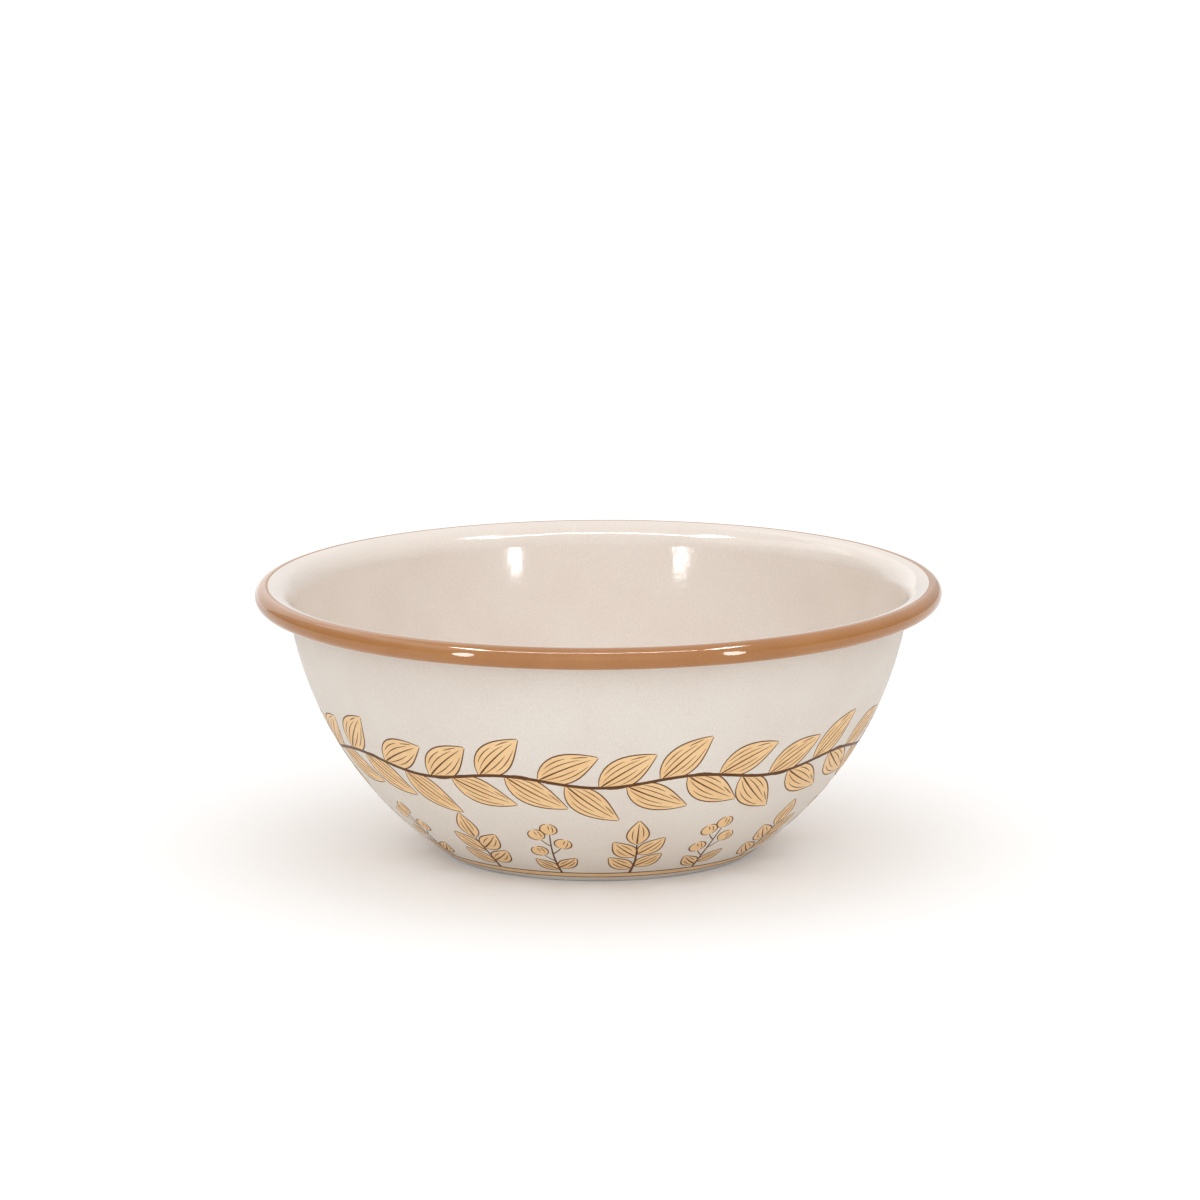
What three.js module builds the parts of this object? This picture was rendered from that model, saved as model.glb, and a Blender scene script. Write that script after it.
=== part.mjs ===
// Enamelled steel serving bowl.
// One disc of steel sheet is pressed into a round bowl and its edge is rolled outwards into a hollow bead.
// Both faces are fired with a thin dark ground coat, which bonds to the steel. Over it lie a pale cover
// coat inside, another outside, and a coloured band on the bead.
// Millimetres, +Z up, origin on the floor under the middle of the bowl.
import * as THREE from "three";

// Bowl, measured over the finished enamel
const RIM_DIAMETER = 240;
const HEIGHT = 95;
const NECK_ANGLE = 81.5; // slope of the wall just under the rim, in degrees above the floor
const FLARE_RADIUS = 9.5; // rounding from the inside of the wall to the crest of the rim
const BEAD_DIAMETER = 7.4;
const BEAD_ROLL = 210; // degrees that the bead turns, from its crest round to its tucked edge
const BEAD_CLEARANCE = 0.5; // between the tucked edge and the neck
const BAND_INNER_REACH = 1.8; // how far the coloured band comes inwards from the crest

// Foot, measured over the finished enamel
const FOOT_DIAMETER = 104; // outer edge of the flat ring that the bowl stands on
const FOOT_RING_WIDTH = 8;
const FOOT_CORNER_RADIUS = 4;
const FOOT_RECESS = 1.2; // the middle of the base is pressed up clear of the floor
const RECESS_BEND_RADIUS = 6;

// Thickness of the layers, from the middle of the wall outwards
const SHEET = 0.6;
const GROUND_COAT = 0.12;
const COVER_COAT = 0.2;
const FUSION_GAP = 0.03; // left between fused layers, so that their faces never cross

// Facets
const ROUND_SEGMENTS = 40;
const RECESS_BEND_STEPS = 1;
const FOOT_CORNER_STEPS = 2;
const WALL_STEPS = 7;
const NECK_STEPS = 2;
const LIP_STEPS = 1;
const BEAD_STEPS = 7;
const SETTLING_ROUNDS = 20; // after these the solved wall no longer changes

// Faces of each layer, as distances from the middle of the sheet, on either side of it
const STEEL_FACE = SHEET / 2;
const GROUND_START = STEEL_FACE + FUSION_GAP;
const GROUND_FACE = GROUND_START + GROUND_COAT;
const COVER_START = GROUND_FACE + FUSION_GAP;
const COVER_FACE = COVER_START + COVER_COAT;

const radians = THREE.MathUtils.degToRad;

// A walk along the middle of the sheet, seen in section. Each stop holds a radius r, a height z and a
// heading, so that any face parallel to the sheet can be offset from it exactly.
class SectionWalk {
  constructor(r, z) {
    this.stops = [{ r, z, heading: 0 }];
    this.marks = { axis: 0 };
  }

  get last() {
    return this.stops.at(-1);
  }

  line(length) {
    const { r, z, heading } = this.last;
    this.stops.push({ r: r + length * Math.cos(heading), z: z + length * Math.sin(heading), heading });
    return this;
  }

  // A positive angle turns left, towards the inside of the bowl.
  bend(radius, angle, steps) {
    const { r, z, heading } = this.last;
    const signed = radius * Math.sign(angle);
    for (let step = 1; step <= steps; step++) {
      const turned = heading + (angle * step) / steps;
      this.stops.push({
        r: r + signed * (Math.sin(turned) - Math.sin(heading)),
        z: z - signed * (Math.cos(turned) - Math.cos(heading)),
        heading: turned,
      });
    }
    return this;
  }

  mark(name) {
    this.marks[name] = this.stops.length - 1;
    return this;
  }
}

// A stop moved sideways off the sheet: inwards where distance is positive, outwards where it is negative.
function beside(stop, distance) {
  return new THREE.Vector2(
    stop.r - distance * Math.sin(stop.heading),
    stop.z + distance * Math.cos(stop.heading),
  );
}

// How far a point can travel along a heading before it leaves a circle.
function reachInCircle(point, heading, centre, radius) {
  const from = point.clone().sub(centre);
  const along = from.dot(new THREE.Vector2(Math.cos(heading), Math.sin(heading)));
  return -along + Math.sqrt(along ** 2 - from.lengthSq() + radius ** 2);
}

// The wall is one arc, tangent to the foot's corner and to the flare. An arc's chord points half way
// between its two end headings, which settles the heading at the foot.
function wallArc(corner, cornerRadius, neck, neckHeading) {
  let footHeading = neckHeading / 2;
  let chord;
  for (let round = 0; round < SETTLING_ROUNDS; round++) {
    const start = new THREE.Vector2(
      corner.x + cornerRadius * Math.sin(footHeading),
      corner.y + cornerRadius * (1 - Math.cos(footHeading)),
    );
    chord = neck.clone().sub(start);
    footHeading = 2 * Math.atan2(chord.y, chord.x) - neckHeading;
  }
  const turn = neckHeading - footHeading;
  return { footHeading, turn, radius: chord.length() / (2 * Math.sin(turn / 2)) };
}

// The whole sheet in section, from the middle of the base to the tucked edge of the bead.
function sheetSection() {
  const neckHeading = radians(NECK_ANGLE);
  const cornerRadius = FOOT_CORNER_RADIUS - COVER_FACE;
  const flareRadius = FLARE_RADIUS - COVER_FACE;
  const beadRadius = BEAD_DIAMETER / 2 - COVER_FACE;
  const corner = new THREE.Vector2(FOOT_DIAMETER / 2, COVER_FACE);
  const crest = new THREE.Vector2((RIM_DIAMETER - BEAD_DIAMETER) / 2, HEIGHT - COVER_FACE);
  const flareCentre = new THREE.Vector2(crest.x, crest.y - flareRadius);
  const neck = new THREE.Vector2(
    flareCentre.x - flareRadius * Math.sin(neckHeading),
    flareCentre.y + flareRadius * Math.cos(neckHeading),
  );
  const wall = wallArc(corner, cornerRadius, neck, neckHeading);

  const recessTurn = Math.acos(1 - FOOT_RECESS / (2 * RECESS_BEND_RADIUS));
  const recessWidth = 2 * RECESS_BEND_RADIUS * Math.sin(recessTurn);
  const bandHeading = Math.asin(BAND_INNER_REACH / FLARE_RADIUS);
  const tuckHeading = neckHeading / 2;

  const walk = new SectionWalk(0, COVER_FACE + FOOT_RECESS)
    .line(FOOT_DIAMETER / 2 - FOOT_RING_WIDTH - recessWidth)
    .bend(RECESS_BEND_RADIUS, -recessTurn, RECESS_BEND_STEPS)
    .bend(RECESS_BEND_RADIUS, recessTurn, RECESS_BEND_STEPS)
    .line(FOOT_RING_WIDTH)
    .bend(cornerRadius, wall.footHeading, FOOT_CORNER_STEPS)
    .bend(wall.radius, wall.turn, WALL_STEPS)
    .bend(flareRadius, tuckHeading - neckHeading, NECK_STEPS)
    .mark("tuck")
    .bend(flareRadius, bandHeading - tuckHeading, LIP_STEPS)
    .mark("bandEdge")
    .bend(flareRadius, -bandHeading, LIP_STEPS)
    .bend(beadRadius, -radians(BEAD_ROLL), BEAD_STEPS);

  // The tucked edge runs straight on until it is close under the flare.
  const room = flareRadius - COVER_FACE - BEAD_CLEARANCE;
  const reaches = [-GROUND_FACE, COVER_FACE].map((distance) =>
    reachInCircle(beside(walk.last, distance), walk.last.heading, flareCentre, room),
  );
  return walk.line(Math.min(...reaches)).mark("edge");
}

const section = sheetSection();

// A layer between two faces parallel to the sheet, from one mark to another, turned round the axis.
// trim draws its far end back from the mark, where another layer begins.
function layer(name, material, { low, high, from = "axis", to, trim = 0 }) {
  const stops = section.stops.slice(section.marks[from], section.marks[to] + 1);
  const end = stops.at(-1);
  stops[stops.length - 1] = {
    ...end,
    r: end.r - trim * Math.cos(end.heading),
    z: end.z - trim * Math.sin(end.heading),
  };
  const outline = [
    ...stops.map((stop) => beside(stop, low)),
    ...stops.toReversed().map((stop) => beside(stop, high)),
  ];
  if (from !== "axis") outline.push(outline[0].clone());
  const geometry = new THREE.LatheGeometry(outline, ROUND_SEGMENTS).rotateX(Math.PI / 2);
  const mesh = new THREE.Mesh(geometry, material);
  mesh.name = name;
  return mesh;
}

// Bright drawn steel, seen only where nothing covers it
const steel = new THREE.MeshStandardMaterial({ color: 0x8f9296, roughness: 0.45, metalness: 1 });
// Blue-black glass with cobalt and nickel, which grips the steel
const groundGlass = new THREE.MeshStandardMaterial({ color: 0x23262d, roughness: 0.35, metalness: 0 });
// Glossy cream with a little pink in it
const insideGlass = new THREE.MeshStandardMaterial({ color: 0xe4d5c7, roughness: 0.12, metalness: 0 });
// Cooler and a little greyer cream
const outsideGlass = new THREE.MeshStandardMaterial({ color: 0xe1d7ca, roughness: 0.18, metalness: 0 });
// Caramel brown
const bandGlass = new THREE.MeshStandardMaterial({ color: 0xb67c47, roughness: 0.14, metalness: 0 });

const bowl = new THREE.Group();
bowl.name = "serving_bowl";
bowl.add(
  layer("steel_shell", steel, { low: -STEEL_FACE, high: STEEL_FACE, to: "edge" }),
  layer("ground_coat_inside", groundGlass, { low: GROUND_START, high: GROUND_FACE, to: "edge" }),
  layer("ground_coat_outside", groundGlass, { low: -GROUND_FACE, high: -GROUND_START, to: "edge" }),
  layer("cover_coat_inside", insideGlass, {
    low: COVER_START,
    high: COVER_FACE,
    to: "bandEdge",
    trim: FUSION_GAP,
  }),
  layer("cover_coat_outside", outsideGlass, { low: -COVER_FACE, high: -COVER_START, to: "tuck" }),
  layer("rim_band", bandGlass, { low: COVER_START, high: COVER_FACE, from: "bandEdge", to: "edge" }),
);

export default bowl;
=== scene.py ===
"""Enamelled steel serving bowl: coats of enamel over pressed steel, with a print of leaves and berries.

Metres, +Z up, origin on the floor under the middle of the bowl, as in the frame.
"""

import math

import bpy
import numpy as np
from mathutils import Matrix, Vector


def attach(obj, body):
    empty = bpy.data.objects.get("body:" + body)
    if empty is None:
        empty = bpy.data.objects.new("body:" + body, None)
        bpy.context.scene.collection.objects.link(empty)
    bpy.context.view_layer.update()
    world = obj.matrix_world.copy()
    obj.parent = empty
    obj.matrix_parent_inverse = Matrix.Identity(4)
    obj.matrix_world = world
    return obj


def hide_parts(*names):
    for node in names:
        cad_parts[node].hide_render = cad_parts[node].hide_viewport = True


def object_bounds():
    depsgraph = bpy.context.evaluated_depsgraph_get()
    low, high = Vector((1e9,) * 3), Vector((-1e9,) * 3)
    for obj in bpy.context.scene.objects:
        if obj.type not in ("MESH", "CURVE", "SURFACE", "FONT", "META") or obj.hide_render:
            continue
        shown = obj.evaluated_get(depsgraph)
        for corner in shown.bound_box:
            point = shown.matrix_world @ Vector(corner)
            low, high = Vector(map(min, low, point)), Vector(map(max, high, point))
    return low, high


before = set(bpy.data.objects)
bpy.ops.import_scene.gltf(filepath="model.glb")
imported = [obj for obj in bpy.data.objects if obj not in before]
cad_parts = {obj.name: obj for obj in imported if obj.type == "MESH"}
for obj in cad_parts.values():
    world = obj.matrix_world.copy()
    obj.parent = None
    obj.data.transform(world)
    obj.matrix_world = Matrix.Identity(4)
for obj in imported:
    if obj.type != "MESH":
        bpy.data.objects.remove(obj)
cad_low, cad_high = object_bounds()

MM = 0.001

# Bowl, over the finished enamel. Its overall size is the frame's.
RIM_RADIUS = cad_high.x
HEIGHT = cad_high.z
NECK_ANGLE = math.radians(81.5)
FLARE_RADIUS = 9.5 * MM
BEAD_RADIUS = 3.7 * MM
BEAD_ROLL = math.radians(210)
BEAD_CLEARANCE = 0.5 * MM
BAND_INNER_REACH = 0.9 * MM

# Foot, over the finished enamel
FOOT_RADIUS = 52 * MM
FOOT_RING_WIDTH = 8 * MM
FOOT_CORNER_RADIUS = 4 * MM
FOOT_RECESS = 1.2 * MM
RECESS_BEND_RADIUS = 6 * MM

# Faces of the layers, as distances from the middle of the sheet
STEEL_FACE = 0.3 * MM
GROUND_START = 0.33 * MM
GROUND_FACE = 0.45 * MM
COVER_START = 0.48 * MM
COVER_FACE = 0.68 * MM

# Layers, each between two faces: distances are positive on the inside of the bowl
STEEL_LAYER = (-STEEL_FACE, STEEL_FACE)
INNER_GROUND = (GROUND_START, GROUND_FACE)
OUTER_GROUND = (-GROUND_FACE, -GROUND_START)
INNER_COVER = (COVER_START, COVER_FACE)
OUTER_COVER = (-COVER_FACE, -COVER_START)

# Facets
ROUND_SEGMENTS = 288
RECESS_BEND_STEPS = 5
FOOT_CORNER_STEPS = 10
WALL_STEPS = 64
FLARE_STEPS = 12
BEAD_STEPS = 42
SETTLING_ROUNDS = 30
SHARP_ANGLE = math.radians(35)
TURNS = 2 * math.pi * np.arange(ROUND_SEGMENTS) / ROUND_SEGMENTS


class SectionWalk:
    """A walk along the middle of the sheet, in section. Each stop is a radius, a height and a heading."""

    def __init__(self, r, z):
        self.stops = [(r, z, 0.0)]
        self.marks = {"axis": 0}

    def line(self, length):
        r, z, heading = self.stops[-1]
        self.stops.append((r + length * math.cos(heading), z + length * math.sin(heading), heading))
        return self

    def bend(self, radius, angle, steps):
        """A positive angle turns left, towards the inside of the bowl."""
        r, z, heading = self.stops[-1]
        signed = math.copysign(radius, angle)
        for step in range(1, steps + 1):
            turned = heading + angle * step / steps
            across = signed * (math.sin(turned) - math.sin(heading))
            up = -signed * (math.cos(turned) - math.cos(heading))
            self.stops.append((r + across, z + up, turned))
        return self

    def mark(self, name):
        self.marks[name] = len(self.stops) - 1
        return self

    def part(self, first, last):
        return self.stops[self.marks[first] : self.marks[last] + 1]


def beside(stop, distance):
    """A stop moved sideways off the sheet, inwards where distance is positive."""
    r, z, heading = stop
    return r - distance * math.sin(heading), z + distance * math.cos(heading)


def reach_in_circle(point, heading, centre, radius):
    """How far a point can travel along a heading before it leaves a circle."""
    offset = (point[0] - centre[0], point[1] - centre[1])
    along = offset[0] * math.cos(heading) + offset[1] * math.sin(heading)
    return -along + math.sqrt(along**2 - offset[0] ** 2 - offset[1] ** 2 + radius**2)


def sheet_section():
    """The sheet in section, from the middle of the base to the tucked edge of the bead."""
    corner_radius = FOOT_CORNER_RADIUS - COVER_FACE
    flare_radius = FLARE_RADIUS - COVER_FACE
    crest = (RIM_RADIUS - BEAD_RADIUS, HEIGHT - COVER_FACE)
    flare_centre = (crest[0], crest[1] - flare_radius)
    neck = (
        flare_centre[0] - flare_radius * math.sin(NECK_ANGLE),
        flare_centre[1] + flare_radius * math.cos(NECK_ANGLE),
    )
    # The wall is one arc: its chord points half way between its two end headings.
    foot_heading = NECK_ANGLE / 2
    for _ in range(SETTLING_ROUNDS):
        start_r = FOOT_RADIUS + corner_radius * math.sin(foot_heading)
        start_z = COVER_FACE + corner_radius * (1 - math.cos(foot_heading))
        chord = (neck[0] - start_r, neck[1] - start_z)
        foot_heading = 2 * math.atan2(chord[1], chord[0]) - NECK_ANGLE
    wall_turn = NECK_ANGLE - foot_heading
    wall_radius = math.hypot(*chord) / (2 * math.sin(wall_turn / 2))

    recess_turn = math.acos(1 - FOOT_RECESS / (2 * RECESS_BEND_RADIUS))
    recess_width = 2 * RECESS_BEND_RADIUS * math.sin(recess_turn)
    tuck_heading = NECK_ANGLE / 2
    band_heading = math.asin(BAND_INNER_REACH / FLARE_RADIUS)
    walk = (
        SectionWalk(0, COVER_FACE + FOOT_RECESS)
        .line(FOOT_RADIUS - FOOT_RING_WIDTH - recess_width)
        .bend(RECESS_BEND_RADIUS, -recess_turn, RECESS_BEND_STEPS)
        .bend(RECESS_BEND_RADIUS, recess_turn, RECESS_BEND_STEPS)
        .line(FOOT_RING_WIDTH)
        .bend(corner_radius, foot_heading, FOOT_CORNER_STEPS)
        .mark("wall")
        .bend(wall_radius, wall_turn, WALL_STEPS)
        .mark("neck")
        .bend(flare_radius, tuck_heading - NECK_ANGLE, FLARE_STEPS)
        .mark("tuck")
        .bend(flare_radius, band_heading - tuck_heading, FLARE_STEPS)
        .mark("band")
        .bend(flare_radius, -band_heading, FLARE_STEPS)
        .bend(BEAD_RADIUS - COVER_FACE, -BEAD_ROLL, BEAD_STEPS)
    )
    heading = walk.stops[-1][2]
    room = flare_radius - COVER_FACE - BEAD_CLEARANCE
    reaches = [
        reach_in_circle(beside(walk.stops[-1], distance), heading, flare_centre, room)
        for distance in (-GROUND_FACE, COVER_FACE)
    ]
    return walk.line(min(reaches)).mark("edge")


SECTION = sheet_section()


def mesh_object(name, vertices, faces, material):
    """A smooth mesh with sharp corners, as a piece on the bowl's one body."""
    mesh = bpy.data.meshes.new(name)
    mesh.from_pydata(vertices, [], faces)
    mesh.validate()
    mesh.shade_smooth()
    mesh.set_sharp_from_angle(angle=SHARP_ANGLE)
    mesh.materials.append(material)
    piece = bpy.data.objects.new(name, mesh)
    bpy.context.scene.collection.objects.link(piece)
    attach(piece, "root")
    return piece


def revolve(name, outline, material):
    """Turns an outline of radii and heights round the axis, on which it starts and ends, or as a loop."""
    closed = outline[0][0] > 0
    vertices = []
    rings = []
    for r, z in outline:
        start = len(vertices)
        if r > 0:
            vertices += [(r * math.cos(turn), r * math.sin(turn), z) for turn in TURNS]
            rings.append([start + k for k in range(ROUND_SEGMENTS)])
        else:
            vertices.append((0, 0, z))
            rings.append([start] * ROUND_SEGMENTS)
    faces = []
    next_rings = rings[1:] + rings[:1] if closed else rings[1:]
    for near, far in zip(rings, next_rings):
        for k in range(ROUND_SEGMENTS):
            following = (k + 1) % ROUND_SEGMENTS
            corners = [near[k], near[following], far[following], far[k]]
            faces.append(list(dict.fromkeys(corners)))
    return mesh_object(name, vertices, faces, material)


def coat(name, node, material, layer, first, last):
    """A layer parallel to the sheet, from one mark of the section to another."""
    low, high = layer
    stops = SECTION.part(first, last)
    outline = [beside(stop, low) for stop in stops] + [beside(stop, high) for stop in reversed(stops)]
    piece = revolve(name, outline, material)
    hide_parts(node)


# Materials

# Colour sockets of a node that mixes two colours
MIX_FIRST = 6
MIX_SECOND = 7
MIX_RESULT = 2

# Stretch of a noise's values that is used where no other is named
NOISE_SPAN = (0.3, 0.7)

# Enamel
CLOUD_SIZE = 26 * MM
SPECKLE_SIZE = 0.6 * MM
SPECKLE_SPAN = (0.34, 0.66)
GRAIN = 0.03
GLOSS_SIZE = 9 * MM
GLOSS_SPREAD = 0.2
RIPPLE_SIZE = 7 * MM
RIPPLE_SHARE = 2.2
PEEL_SIZE = 2.4 * MM
ENAMEL_SPECULAR = 0.5
OUTSIDE_SPECULAR = 0.12

# Rubbed patches where the bowl stands
RUB_HEIGHT = 0.15 * MM
RUB_SIZE = 3 * MM
RUB_SPAN = (0.45, 0.7)

# Steel
STREAK_SIZE = 0.5 * MM
STREAK_STRETCH = (1, 1, 0.06)
STREAK_DEPTH = 0.004 * MM
STEEL_ROUGHNESS = (0.32, 0.48)

# Print
DRIFT_SIZE = 5 * MM
DRIFT_SPAN = (0.25, 0.75)
DRIFT_TONE = 0.5
PRINT_GLOSS_SIZE = 3 * MM
PRINT_ROUGHNESS = (0.32, 0.46)
PRINT_PEEL = 0.012 * MM


def linear(red, green, blue):
    """A colour as seen on a screen, from 0 to 255, as linear light."""
    channels = [c / 255 for c in (red, green, blue)]
    return [c / 12.92 if c <= 0.04045 else ((c + 0.055) / 1.055) ** 2.4 for c in channels] + [1.0]


def shade(colour, amount):
    return [channel * amount for channel in colour[:3]] + [1.0]


def math_node(tree, operation, *values):
    """The outcome of a sum on other nodes' outputs and numbers."""
    node = tree.nodes.new("ShaderNodeMath")
    node.operation = operation
    for socket, value in zip(node.inputs, values):
        if isinstance(value, bpy.types.NodeSocket):
            tree.links.new(value, socket)
        else:
            socket.default_value = value
    return node.outputs["Value"]


class Nodes:
    """A material's node tree, with short ways to add what these materials share."""

    def __init__(self, name):
        self.material = bpy.data.materials.new(name)
        self.material.use_nodes = True
        self.tree = self.material.node_tree
        self.shader = self.tree.nodes["Principled BSDF"]
        self.place = self.add("ShaderNodeTexCoord").outputs["Object"]

    def add(self, kind, **values):
        node = self.tree.nodes.new(kind)
        for key, value in values.items():
            setattr(node, key, value)
        return node

    def link(self, output, target):
        self.tree.links.new(output, target)

    def noise(self, size, detail, stretch=(1, 1, 1)):
        """Noise whose blotches are about size across, from 0 to 1."""
        mapping = self.add("ShaderNodeMapping")
        mapping.inputs["Scale"].default_value = stretch
        self.link(self.place, mapping.inputs["Vector"])
        texture = self.add("ShaderNodeTexNoise")
        texture.inputs["Scale"].default_value = 1 / size
        texture.inputs["Detail"].default_value = detail
        self.link(mapping.outputs["Vector"], texture.inputs["Vector"])
        return texture.outputs["Fac"]

    def remap(self, value, span=NOISE_SPAN, to=(0.0, 1.0)):
        node = self.add("ShaderNodeMapRange", interpolation_type="SMOOTHSTEP")
        self.link(value, node.inputs["Value"])
        for key, number in zip(("From Min", "From Max", "To Min", "To Max"), (*span, *to)):
            node.inputs[key].default_value = number
        return node.outputs["Result"]

    def mix(self, factor, first, second):
        """One colour turning into another where the factor rises. Each is a colour or a node's output."""
        node = self.add("ShaderNodeMix", data_type="RGBA")
        self.link(factor, node.inputs["Factor"])
        for colour, place in ((first, MIX_FIRST), (second, MIX_SECOND)):
            if isinstance(colour, bpy.types.NodeSocket):
                self.link(colour, node.inputs[place])
            else:
                node.inputs[place].default_value = colour
        return node.outputs[MIX_RESULT]

    def bump(self, height, distance, before=None):
        node = self.add("ShaderNodeBump")
        node.inputs["Distance"].default_value = distance
        self.link(height, node.inputs["Height"])
        if before is not None:
            self.link(before, node.inputs["Normal"])
        return node.outputs["Normal"]

    def finish(self, colour, roughness, normal):
        self.link(colour, self.shader.inputs["Base Color"])
        self.link(roughness, self.shader.inputs["Roughness"])
        self.link(normal, self.shader.inputs["Normal"])
        return self.material


def standing_rub(nodes):
    """How far the face that the bowl stands on is rubbed, in patches, from 0 to 1."""
    split = nodes.add("ShaderNodeSeparateXYZ")
    nodes.link(nodes.place, split.inputs["Vector"])
    low = nodes.remap(split.outputs["Z"], (0.0, RUB_HEIGHT), (1.0, 0.0))
    patches = nodes.remap(nodes.noise(RUB_SIZE, detail=4), RUB_SPAN)
    return math_node(nodes.tree, "MULTIPLY", low, patches)


def enamel(name, colour, deep, roughness, peel, specular=ENAMEL_SPECULAR, rubbed=None):
    """Fired glass enamel: fine grain, slow clouding where the coat is thicker, and orange peel."""
    nodes = Nodes(name)
    nodes.shader.inputs["Specular IOR Level"].default_value = specular
    cloud = nodes.remap(nodes.noise(CLOUD_SIZE, detail=2))
    speckle = nodes.remap(nodes.noise(SPECKLE_SIZE, detail=1), SPECKLE_SPAN)
    dark = nodes.mix(cloud, shade(colour, 1 - GRAIN), shade(deep, 1 - GRAIN))
    light = nodes.mix(cloud, shade(colour, 1 + GRAIN), shade(deep, 1 + GRAIN))
    tone = nodes.mix(speckle, dark, light)
    if rubbed is not None:
        tone = nodes.mix(standing_rub(nodes), tone, rubbed)
    gloss = (roughness * (1 - GLOSS_SPREAD), roughness * (1 + GLOSS_SPREAD))
    rough = nodes.remap(nodes.noise(GLOSS_SIZE, detail=3), to=gloss)
    ripple = nodes.bump(nodes.noise(RIPPLE_SIZE, detail=1), peel * RIPPLE_SHARE)
    normal = nodes.bump(nodes.noise(PEEL_SIZE, detail=1), peel, ripple)
    return nodes.finish(tone, rough, normal)


def steel():
    nodes = Nodes("drawn_steel")
    nodes.shader.inputs["Metallic"].default_value = 1.0
    streaks = nodes.noise(STREAK_SIZE, detail=3, stretch=STREAK_STRETCH)
    tone = nodes.mix(streaks, linear(132, 134, 137), linear(164, 166, 168))
    roughness = nodes.remap(streaks, to=STEEL_ROUGHNESS)
    normal = nodes.bump(streaks, STREAK_DEPTH)
    return nodes.finish(tone, roughness, normal)


def printed(name, colour, deep):
    """Print fired into the enamel, deeper where the mesh's tone attribute says so."""
    nodes = Nodes(name)
    nodes.shader.inputs["Specular IOR Level"].default_value = OUTSIDE_SPECULAR
    tone = nodes.add("ShaderNodeAttribute", attribute_name="tone").outputs["Fac"]
    drift = nodes.remap(nodes.noise(DRIFT_SIZE, detail=2), DRIFT_SPAN, (0.0, DRIFT_TONE))
    amount = math_node(nodes.tree, "MINIMUM", math_node(nodes.tree, "ADD", tone, drift), 1)
    ink = nodes.mix(amount, colour, deep)
    roughness = nodes.remap(nodes.noise(PRINT_GLOSS_SIZE, detail=2), to=PRINT_ROUGHNESS)
    normal = nodes.bump(nodes.noise(PEEL_SIZE, detail=1), PRINT_PEEL)
    return nodes.finish(ink, roughness, normal)


STEEL = steel()
GROUND = enamel("ground_enamel", linear(35, 38, 45), linear(24, 26, 34), roughness=0.3, peel=0.02 * MM)
INSIDE = enamel("inside_enamel", linear(231, 220, 210), linear(228, 216, 205), roughness=0.1, peel=0.028 * MM)
OUTSIDE = enamel(
    "outside_enamel",
    linear(229, 221, 211),
    linear(226, 216, 206),
    roughness=0.5,
    peel=0.006 * MM,
    specular=OUTSIDE_SPECULAR,
    rubbed=linear(208, 200, 189),
)
BAND = enamel("rim_enamel", linear(174, 119, 67), linear(167, 111, 60), roughness=0.05, peel=0.01 * MM)
FILL = printed("print_fill", linear(247, 212, 164), linear(237, 195, 143))
LINE = printed("print_line", linear(112, 74, 46), linear(90, 58, 34))


# Bowl

coat("pressed_steel", "steel_shell", STEEL, STEEL_LAYER, "axis", "edge")
coat("inner_ground", "ground_coat_inside", GROUND, INNER_GROUND, "axis", "edge")
coat("outer_ground", "ground_coat_outside", GROUND, OUTER_GROUND, "axis", "edge")
coat("inner_cover", "cover_coat_inside", INSIDE, INNER_COVER, "axis", "band")
coat("outer_cover", "cover_coat_outside", OUTSIDE, OUTER_COVER, "axis", "tuck")
coat("rim_coat", "rim_band", BAND, INNER_COVER, "band", "edge")


# Print, on the outside of the wall. Heights are measured up along the wall from the foot's corner.

# Depths of each ink, from under the enamel's face to over it, and widths of the lines
FILL_DEPTH = (-0.03 * MM, 0.03 * MM)
LINE_DEPTH = (-0.03 * MM, 0.05 * MM)
EDGE_LINE = 0.52 * MM
EDGE_LINE_END = 0.234 * MM
RIB_LINE = 0.65 * MM
STROKE_LINE = 0.38 * MM
FINE_END = 0.06 * MM

# Tones, from 0 for the plain ink to 1 for the deep one
STEM_TONE = 0.3
BLADE_BASE_TONE = 0.4
BLADE_MIDDLE_TONE = 0.2

# Leaves and berries. A stroke has a place across the blade, and a first and a last share of its length.
ALMOND_SKEW = 0.8
ALMOND_FULLNESS = 0.95
BLADE_END = 0.015
BLADE_STEPS = 12
BLADE_COLUMNS = 5
RIB_REACH = 0.88
RIB_STEPS = 10
RIB_PEAK = 0.05
STROKE_STEPS = 8
RETURN_BEND = -0.32
LARGE_STROKES = [
    (0.36, 0.1, 0.74),
    (0.68, 0.2, 0.56),
    (-0.36, 0.08, 0.62),
    (-0.68, 0.26, 0.8),
    (0.62, 0.64, 0.86),
]
SMALL_STROKES = [(0.5, 0.2, 0.66), (-0.5, 0.3, 0.76)]
BERRY_STROKES = [(-0.5, 0.2, 0.8), (-0.05, 0.45, 0.85)]
BERRY_RADIUS = 3.0 * MM

# Garland right round the wall
GARLAND_RISE = 58.5 * MM
GARLAND_WAVE = 2.0 * MM
GARLAND_WAVES = 9
GARLAND_PAIRS = 28
GARLAND_STAGGER = 0.45
GARLAND_LEAN = math.radians(42)
GARLAND_LEAF = (24.5 * MM, 12 * MM)
VINE_WIDTH = 1.3 * MM

# Band round the foot, and the lines along its edges
FOOT_BAND = (3.0 * MM, 6.0 * MM)
FOOT_BAND_TONE = 0.35
FOOT_LINES = [(2.7 * MM, 3.2 * MM), (5.8 * MM, 6.4 * MM)]

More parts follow.
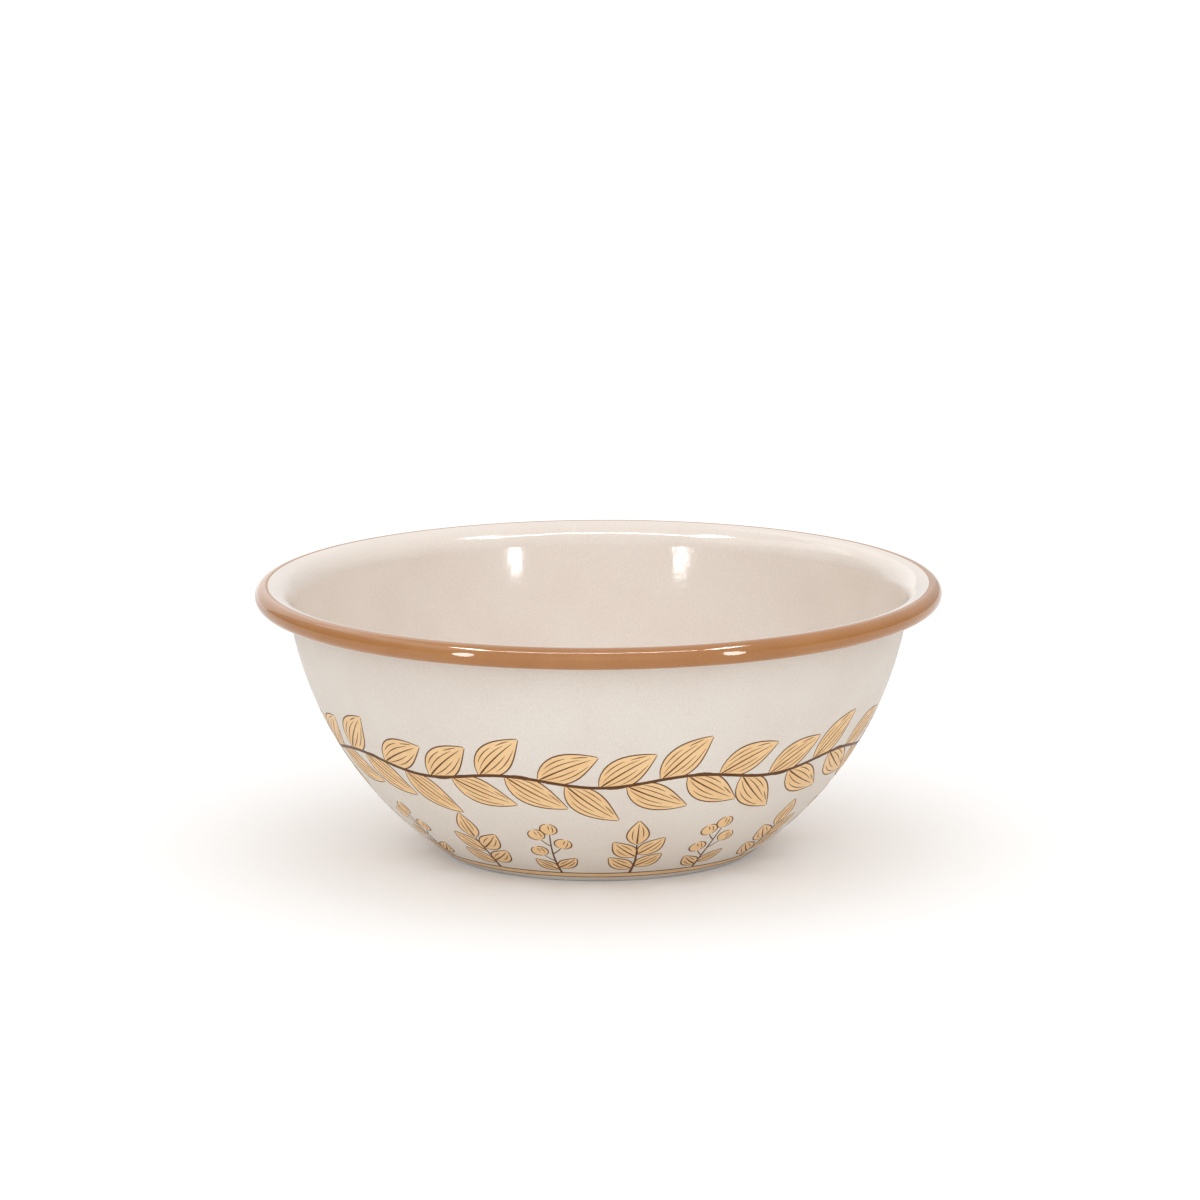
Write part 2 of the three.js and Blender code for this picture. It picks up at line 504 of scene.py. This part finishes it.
# Sprigs on the band, in millimetres and degrees. A leaf pair has a rise, a lean, a length and a width, and a
# berry a rise, a lean and the length of its stalk.
SPRIGS = 8
SPRIG_START = 0.22
STEM_FOOT = 6.2 * MM
STEM_SWAY = 0.7 * MM
STEM_STEPS = 16
STEM_TAPER = 0.5
PAIR_STAGGER = 0.8
LEAF_SPRIG_TOP = 26 * MM
LEAF_SPRIG_STEM = 1.0 * MM
LEAF_SPRIG_PAIRS = [(10.5, 56, 12.5, 7), (19, 50, 13.5, 7.6)]
LEAF_SPRIG_TIP = (14 * MM, 7.8 * MM)
LEAF_SPRIG_TIP_LEAN = math.radians(-3)
BERRY_SPRIG_TOP = 32 * MM
BERRY_SPRIG_STEM = 0.8 * MM
BERRY_SPRIG_PAIRS = [(9.5, 54, 10.5, 5.8)]
BERRIES = [(15, -48, 5.2), (20, 48, 5.2), (25, -46, 5.0)]
BERRY_LEAN_SHARE = 0.5
STALK_STEPS = 8
STALK_WIDTHS = (0.5 * MM, 0.32 * MM)


class OuterWall:
    """The outside of the wall laid flat: u runs round it and v up along it, both in metres."""

    def __init__(self):
        stops = SECTION.part("wall", "neck")
        points = np.array([beside(stop, -COVER_FACE) for stop in stops])
        steps = np.hypot(*np.diff(points, axis=0).T)
        self.v = np.concatenate([[0], np.cumsum(steps)])
        self.r, self.z = points.T
        self.heading = np.array([stop[2] for stop in stops])

    def radius(self, v):
        return np.interp(v, self.v, self.r)

    def place(self, turn, u, v, lift):
        """Points at u and v from the meridian at turn, lifted off the wall."""
        heading = np.interp(v, self.v, self.heading)
        around = turn + u / self.radius(v)
        out = self.radius(v) + lift * np.sin(heading)
        up = np.interp(v, self.v, self.z) - lift * np.cos(heading)
        return np.stack([out * np.cos(around), out * np.sin(around), up], -1)


WALL = OuterWall()


class Relief:
    """Gathers thin closed patches laid on the outside of the wall into one mesh."""

    def __init__(self, depth):
        self.depth = depth
        self.vertices = []
        self.faces = []
        self.tones = []

    def patch(self, turn, u, v, tone, loop=False):
        """A patch over a grid of u and v, whose rows run along it and columns across it to the left."""
        rows, columns = u.shape
        start = len(self.vertices)
        for lift in reversed(self.depth):
            self.vertices += WALL.place(turn, u, v, lift).reshape(-1, 3).tolist()
            self.tones += tone.reshape(-1).tolist()
        top = start + np.arange(rows * columns).reshape(rows, columns)
        bottom = top + rows * columns
        pairs = [(i, i + 1) for i in range(rows - 1)] + ([(rows - 1, 0)] if loop else [])
        for i, after in pairs:
            for j in range(columns - 1):
                self.faces.append([top[i, j], top[after, j], top[after, j + 1], top[i, j + 1]])
                self.faces.append([bottom[i, j], bottom[i, j + 1], bottom[after, j + 1], bottom[after, j]])
            self.faces.append([top[i, 0], bottom[i, 0], bottom[after, 0], top[after, 0]])
            self.faces.append([top[after, -1], bottom[after, -1], bottom[i, -1], top[i, -1]])
        if not loop:
            for j in range(columns - 1):
                self.faces.append([top[0, j], top[0, j + 1], bottom[0, j + 1], bottom[0, j]])
                self.faces.append([top[-1, j + 1], top[-1, j], bottom[-1, j], bottom[-1, j + 1]])

    def ribbon(self, turn, path, widths, tone=0.0):
        """A line of varying width along a path of u and v."""
        ahead = np.gradient(path, axis=0)
        left = np.stack([-ahead[:, 1], ahead[:, 0]], -1) / np.hypot(*ahead.T)[:, None]
        half = widths[:, None] / 2
        grid = np.stack([path - left * half, path + left * half], 1)
        self.patch(turn, grid[..., 0], grid[..., 1], np.full(grid.shape[:2], tone))

    def ring(self, low, high, tone=0.0):
        """A band right round the wall between two heights, each a number or one for every turn."""
        v = np.stack(np.broadcast_arrays(low, high, TURNS)[:2], -1)
        u = TURNS[:, None] * WALL.radius(v)
        self.patch(0.0, u, v, np.full(v.shape, tone), loop=True)

    def piece(self, name, slot, material):
        piece = mesh_object(name, self.vertices, self.faces, material)
        attribute = piece.data.attributes.new("tone", "FLOAT", "POINT")
        attribute.data.foreach_set("value", np.array(self.tones, np.float32))


def almond(t):
    """Half width of a leaf along its length, from 0 to 1."""
    return np.sin(math.pi * t**ALMOND_SKEW) ** ALMOND_FULLNESS


def disc(t):
    """Half width of a berry along its length, from 0 to 1."""
    return 2 * np.sqrt(t * (1 - t))


def shares(steps):
    """Even shares of a blade's or stalk's length, which stop just short of its ends."""
    return np.linspace(BLADE_END, 1 - BLADE_END, steps + 1)


def bent_path(base, lean, length, bend, share):
    """Points of u and v at shares of a path that sets off from a base on a lean and bends as it goes."""
    ahead = lean + bend * (share[1:] + share[:-1]) / 2
    lead = np.array([math.sin(lean), math.cos(lean)]) * length * share[0]
    moves = np.stack([np.sin(ahead), np.cos(ahead)], -1) * length * np.diff(share)[:, None]
    return np.array(base) + lead + np.concatenate([[[0, 0]], np.cumsum(moves, axis=0)])


class Blade:
    """A leaf or berry: a bent spine with a width along it. Its lean is from straight up."""

    def __init__(self, base, lean, length, width, bend, shape):
        self.share = shares(BLADE_STEPS)
        self.half = width / 2 * shape(self.share)
        self.spine = bent_path(base, lean, length, bend, self.share)
        heading = lean + bend * self.share
        self.left = np.stack([-np.cos(heading), np.sin(heading)], -1)

    def across(self, s):
        """The line along the blade at s, from -1 at its right edge to 1 at its left."""
        return self.spine + self.left * (self.half * s)[:, None]

    def stretch(self, s, first, last, steps):
        """Part of such a line, between two shares of the blade's length."""
        line = self.across(s)
        at = np.linspace(first, last, steps + 1)
        return np.stack([np.interp(at, self.share, line[:, axis]) for axis in (0, 1)], -1)


def swell(path, most, least=FINE_END, peak=0.5):
    """Widths along an engraved stroke that swells from a fine end and tapers to another."""
    t = np.linspace(0, 1, len(path))
    rise = np.where(t < peak, t / peak, (1 - t) / (1 - peak))
    return least + (most - least) * np.sqrt(np.clip(rise, 0, 1))


def draw_blade(fill, line, turn, blade, strokes, rib_reach=None):
    """A filled blade with its outline, the strokes along it and, for a leaf, its rib."""
    columns = np.linspace(-1, 1, BLADE_COLUMNS)
    grid = np.stack([blade.across(s) for s in columns], 1)
    tone = BLADE_BASE_TONE * (1 - blade.share)[:, None] + BLADE_MIDDLE_TONE * (1 - np.abs(columns))
    fill.patch(turn, grid[..., 0], grid[..., 1], tone)
    for edge in (-1, 1):
        path = blade.across(edge)
        line.ribbon(turn, path, swell(path, EDGE_LINE, EDGE_LINE_END))
    if rib_reach is not None:
        path = blade.stretch(0, 0.0, rib_reach, RIB_STEPS)
        line.ribbon(turn, path, swell(path, RIB_LINE, peak=RIB_PEAK), STEM_TONE)
    for s, first, last in strokes:
        path = blade.stretch(s, first, last, STROKE_STEPS)
        line.ribbon(turn, path, swell(path, STROKE_LINE))


def draw_leaf(fill, line, turn, base, stem_lean, lean, length, width, strokes=SMALL_STROKES):
    """A leaf that leans away from its stem and bends back towards it."""
    blade = Blade(base, stem_lean + lean, length, width, RETURN_BEND * lean, almond)
    draw_blade(fill, line, turn, blade, strokes, RIB_REACH)


def draw_berry(fill, line, turn, base, lean):
    berry = Blade(base, lean, 2 * BERRY_RADIUS, 2 * BERRY_RADIUS, 0.0, disc)
    draw_blade(fill, line, turn, berry, BERRY_STROKES)


def vine_rise(turn):
    return GARLAND_RISE + GARLAND_WAVE * np.sin(GARLAND_WAVES * turn)


def vine_lean(turn):
    """Which way the vine runs, as a lean from straight up."""
    climb = GARLAND_WAVE * GARLAND_WAVES * math.cos(GARLAND_WAVES * turn)
    return math.pi / 2 - math.atan2(climb, WALL.radius(vine_rise(turn)))


def draw_garland(fill, line):
    vine = vine_rise(TURNS)
    line.ring(vine - VINE_WIDTH / 2, vine + VINE_WIDTH / 2, STEM_TONE)
    for pair in range(GARLAND_PAIRS):
        for side, stagger in ((-1, 0.0), (1, GARLAND_STAGGER)):
            turn = 2 * math.pi * (pair + stagger) / GARLAND_PAIRS
            base = (0.0, vine_rise(turn))
            lean = side * GARLAND_LEAN
            draw_leaf(fill, line, turn, base, vine_lean(turn), lean, *GARLAND_LEAF, LARGE_STROKES)


class Stem:
    """A stem that sways aside on its way up, from the foot band to its top."""

    def __init__(self, top, sway):
        self.top = top
        self.sway = sway

    def at(self, rise):
        share = (rise - STEM_FOOT) / (self.top - STEM_FOOT)
        return np.stack([self.sway * np.sin(math.pi * share), rise], -1)

    def draw(self, fill, line, turn, thick, pairs):
        path = self.at(np.linspace(STEM_FOOT, self.top, STEM_STEPS + 1))
        line.ribbon(turn, path, np.linspace(thick, thick * STEM_TAPER, len(path)), STEM_TONE)
        for rise, lean, length, width in pairs:
            for side in (-1, 1):
                base = self.at((rise + side * PAIR_STAGGER) * MM)
                draw_leaf(fill, line, turn, base, 0.0, side * math.radians(lean), length * MM, width * MM)


def draw_leaf_sprig(fill, line, turn):
    stem = Stem(LEAF_SPRIG_TOP, STEM_SWAY)
    stem.draw(fill, line, turn, LEAF_SPRIG_STEM, LEAF_SPRIG_PAIRS)
    draw_leaf(fill, line, turn, stem.at(LEAF_SPRIG_TOP), 0.0, LEAF_SPRIG_TIP_LEAN, *LEAF_SPRIG_TIP)


def draw_berry_sprig(fill, line, turn):
    stem = Stem(BERRY_SPRIG_TOP, -STEM_SWAY)
    stem.draw(fill, line, turn, BERRY_SPRIG_STEM, BERRY_SPRIG_PAIRS)
    for rise, degrees, reach in BERRIES:
        lean = math.radians(degrees)
        stalk = bent_path(stem.at(rise * MM), lean, reach * MM, RETURN_BEND * lean, shares(STALK_STEPS))
        line.ribbon(turn, stalk, np.linspace(*STALK_WIDTHS, len(stalk)))
        draw_berry(fill, line, turn, stalk[-1], BERRY_LEAN_SHARE * lean)
    draw_berry(fill, line, turn, stem.at(BERRY_SPRIG_TOP), 0.0)


def draw_print():
    fill = Relief(FILL_DEPTH)
    line = Relief(LINE_DEPTH)
    fill.ring(*FOOT_BAND, FOOT_BAND_TONE)
    for low, high in FOOT_LINES:
        line.ring(low, high)
    draw_garland(fill, line)
    for sprig in range(SPRIGS):
        turn = 2 * math.pi * (sprig + SPRIG_START) / SPRIGS
        draw_leaf_sprig(fill, line, turn)
        draw_berry_sprig(fill, line, turn + math.pi / SPRIGS)
    fill.piece("print_fill", "print_fill", FILL)
    line.piece("print_line", "print_line", LINE)


draw_print()


# Studio

# Camera, with its focal length in pixels of the photo
CAMERA_PLACE = (0, -2.5664, 0.5976)
CAMERA_PITCH = 0.1959
CAMERA_ROLL = -0.00483
CAMERA_YAW = -0.00022
CAMERA_SIGHT = 50
SENSOR = 36.0
PICTURE_SIDE = 1200
FOCAL_PIXELS = 7486.4

# Floor
FLOOR_REACH = 20.0
FLOOR_GREY = 0.95
FLOOR_GLOW = 0.08

# Light from the world: its level all round, what is added overhead, and, near the floor, what is added in
# front and taken off at the sides
WORLD_LEVEL = 0.67
WORLD_ABOVE = 0.63
WORLD_FRONT = 0.9
WORLD_SIDES = 0.54

# Lamps that show as highlights. A pair of values is where a lamp starts and ends.
FRONT_LAMP_X = 0.2
FRONT_LAMP_Y = -0.263
FRONT_LAMP_Z = (0.05, 0.192)
FRONT_LAMP_WIDTH = 0.036
FRONT_LAMP_RADIANCE = 13.0
OVERHEAD_Z = 3.0
OVERHEAD_SIDE_X = 1.48
OVERHEAD_SIDE_Y = (-1.0, -0.1)
OVERHEAD_SIDE_WIDTH = 0.3
OVERHEAD_SIDE_RADIANCE = 36.0
OVERHEAD_FRONT_X = (-1.28, 1.28)
OVERHEAD_FRONT_Y = -1.0
OVERHEAD_FRONT_WIDTH = 0.16
OVERHEAD_FRONT_RADIANCE = 30.0
BOARD_Y = 1.5
LEFT_BOARD_X = (-1.47, -0.2)
LEFT_BOARD_Z = 0.8
LEFT_BOARD_HEIGHT = 1.8
LEFT_BOARD_RADIANCE = 0.6
BACK_BOARD_X = (-0.2, 0.4)
BACK_BOARD_Z = 0.4
BACK_BOARD_HEIGHT = 1.0
BACK_BOARD_RADIANCE = 0.15
LEFT_PANEL_X = -0.89
LEFT_PANEL_Y = (-0.7, 1.0)
LEFT_PANEL_Z = 1.1
LEFT_PANEL_WIDTH = 0.58
LEFT_PANEL_RADIANCE = 1.0


def make_camera():
    data = bpy.data.cameras.new("camera")
    data.sensor_width = SENSOR
    data.lens = FOCAL_PIXELS * SENSOR / PICTURE_SIDE
    data.clip_end = CAMERA_SIGHT
    camera = bpy.data.objects.new("camera", data)
    bpy.context.scene.collection.objects.link(camera)
    turn = Matrix.Rotation(CAMERA_YAW, 4, "Z") @ Matrix.Rotation(math.pi / 2 - CAMERA_PITCH, 4, "X")
    camera.matrix_world = Matrix.Translation(CAMERA_PLACE) @ turn @ Matrix.Rotation(CAMERA_ROLL, 4, "Z")
    bpy.context.scene.camera = camera


def floor_material():
    """White, and a little paler still where it is seen or mirrored."""
    material = bpy.data.materials.new("white_floor")
    material.use_nodes = True
    tree = material.node_tree
    shader = tree.nodes["Principled BSDF"]
    shader.inputs["Base Color"].default_value = (FLOOR_GREY, FLOOR_GREY, FLOOR_GREY, 1)
    shader.inputs["Roughness"].default_value = 1.0
    shader.inputs["Specular IOR Level"].default_value = 0.0
    shader.inputs["Emission Color"].default_value = (1, 1, 1, 1)
    rays = tree.nodes.new("ShaderNodeLightPath").outputs
    seen = math_node(tree, "MAXIMUM", rays["Is Camera Ray"], rays["Is Glossy Ray"])
    seen = math_node(tree, "MAXIMUM", seen, rays["Is Transmission Ray"])
    tree.links.new(math_node(tree, "MULTIPLY", seen, FLOOR_GLOW), shader.inputs["Emission Strength"])
    return material


def make_floor():
    corners = [(x * FLOOR_REACH, y * FLOOR_REACH, 0) for x, y in ((-1, -1), (1, -1), (1, 1), (-1, 1))]
    mesh = bpy.data.meshes.new("floor")
    mesh.from_pydata(corners, [], [(0, 1, 2, 3)])
    mesh.materials.append(floor_material())
    floor = bpy.data.objects.new("floor", mesh)
    bpy.context.scene.collection.objects.link(floor)


def make_world():
    """A soft dome of light, brightest overhead and, near the floor, brighter in front than at the sides."""
    world = bpy.data.worlds.new("studio")
    bpy.context.scene.world = world
    world.use_nodes = True
    tree = world.node_tree
    split = tree.nodes.new("ShaderNodeSeparateXYZ")
    tree.links.new(tree.nodes.new("ShaderNodeTexCoord").outputs["Generated"], split.inputs["Vector"])
    x, y, z = (split.outputs[axis] for axis in "XYZ")
    front = math_node(tree, "MAXIMUM", math_node(tree, "MULTIPLY", y, -1), 0)
    front = math_node(tree, "MULTIPLY", math_node(tree, "POWER", front, 2), WORLD_FRONT)
    sides = math_node(tree, "MULTIPLY", math_node(tree, "MULTIPLY", x, x), WORLD_SIDES)
    low = math_node(tree, "SUBTRACT", 1, z)
    level = math_node(tree, "MULTIPLY_ADD", z, WORLD_ABOVE, WORLD_LEVEL)
    level = math_node(tree, "MULTIPLY_ADD", low, math_node(tree, "SUBTRACT", front, sides), level)
    dome = tree.nodes["Background"]
    dome.inputs["Color"].default_value = (1, 1, 1, 1)
    tree.links.new(level, dome.inputs["Strength"])


def highlight(name, start, end, width, radiance, aim, shape="RECTANGLE"):
    """A lamp along a line, turned to face a point, that shows only as a highlight in gloss."""
    start, end, aim = Vector(start), Vector(end), Vector(aim)
    middle = (start + end) / 2
    along = (end - start).normalized()
    back = middle - aim
    back = (back - along * back.dot(along)).normalized()
    data = bpy.data.lights.new(name, "AREA")
    data.shape = shape
    data.size = (end - start).length
    data.size_y = width
    data.energy = radiance * math.pi * data.size * data.size_y
    lamp = bpy.data.objects.new(name, data)
    bpy.context.scene.collection.objects.link(lamp)
    axes = Matrix((along, back.cross(along), back)).transposed()
    lamp.matrix_world = Matrix.Translation(middle) @ axes.to_4x4()
    lamp.visible_camera = False
    lamp.visible_diffuse = False


def make_side_highlights(side, word, aim):
    """A lamp low in front and one overhead, on the left where side is -1 and on the right where it is 1."""
    low, high = [(side * FRONT_LAMP_X, FRONT_LAMP_Y, z) for z in FRONT_LAMP_Z]
    highlight(f"front_{word}", low, high, FRONT_LAMP_WIDTH, FRONT_LAMP_RADIANCE, aim, "ELLIPSE")
    near, far = [(side * OVERHEAD_SIDE_X, y, OVERHEAD_Z) for y in OVERHEAD_SIDE_Y]
    highlight(f"over_{word}", near, far, OVERHEAD_SIDE_WIDTH, OVERHEAD_SIDE_RADIANCE, aim)


def make_highlights():
    mouth = (0, 0, HEIGHT)
    make_side_highlights(-1, "left", mouth)
    make_side_highlights(1, "right", mouth)
    left, right = [(x, OVERHEAD_FRONT_Y, OVERHEAD_Z) for x in OVERHEAD_FRONT_X]
    highlight("over_front", left, right, OVERHEAD_FRONT_WIDTH, OVERHEAD_FRONT_RADIANCE, mouth)
    left, right = [(x, BOARD_Y, LEFT_BOARD_Z) for x in LEFT_BOARD_X]
    highlight("board_left", left, right, LEFT_BOARD_HEIGHT, LEFT_BOARD_RADIANCE, mouth)
    left, right = [(x, BOARD_Y, BACK_BOARD_Z) for x in BACK_BOARD_X]
    highlight("board", left, right, BACK_BOARD_HEIGHT, BACK_BOARD_RADIANCE, mouth)
    near, far = [(LEFT_PANEL_X, y, LEFT_PANEL_Z) for y in LEFT_PANEL_Y]
    below = (LEFT_PANEL_X, sum(LEFT_PANEL_Y) / 2, 0)
    highlight("ceiling_left", near, far, LEFT_PANEL_WIDTH, LEFT_PANEL_RADIANCE, below)


make_camera()
make_floor()
make_world()
make_highlights()
bpy.context.scene.view_settings.view_transform = "Standard"
